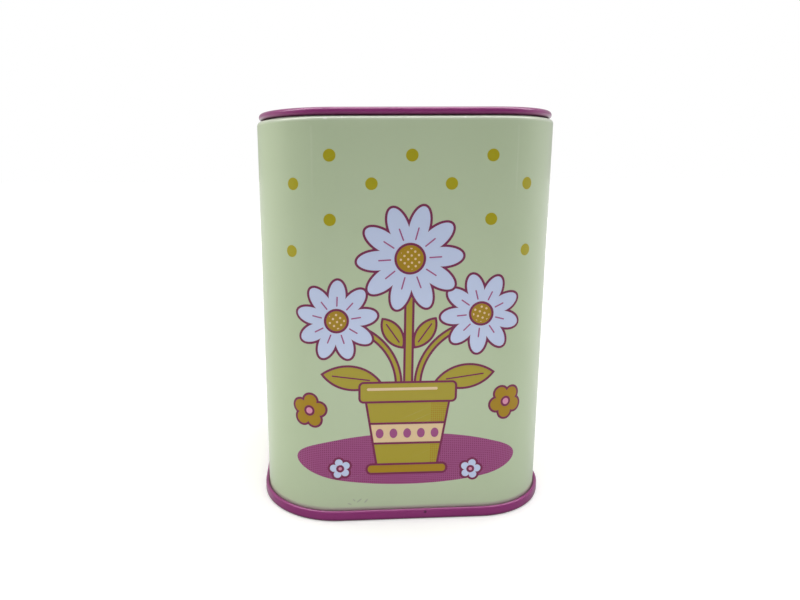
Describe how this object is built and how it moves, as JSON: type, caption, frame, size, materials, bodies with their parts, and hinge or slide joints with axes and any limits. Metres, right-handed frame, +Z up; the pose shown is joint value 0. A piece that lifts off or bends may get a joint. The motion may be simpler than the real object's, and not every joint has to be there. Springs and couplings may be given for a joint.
{
  "type": "coin bank",
  "caption": "Square coin bank of folded tinplate with rounded corners, a base seamed to the wall and a lift-off plug lid with a coin slot.",
  "frame": {"origin": "centre of the footprint, on the surface that the bank stands on", "axes": "+Z up, front (the printed face in the picture) towards -Y, +X to the right seen from the front"},
  "size_m": [0.0668, 0.0668, 0.0882],
  "materials": {
    "printed_tin": "gloss",
    "plum_tin": "gloss"
  },
  "bodies": {
    "bank": {"body_wall": "printed_tin", "base": "plum_tin"},
    "lid": {"lid": "plum_tin"}
  },
  "joints": [
    {"name": "lid_lift", "type": "slide", "parent": "bank", "child": "lid", "axis": [0, 0, 1], "range_m": [0, 0.04]}
  ]
}
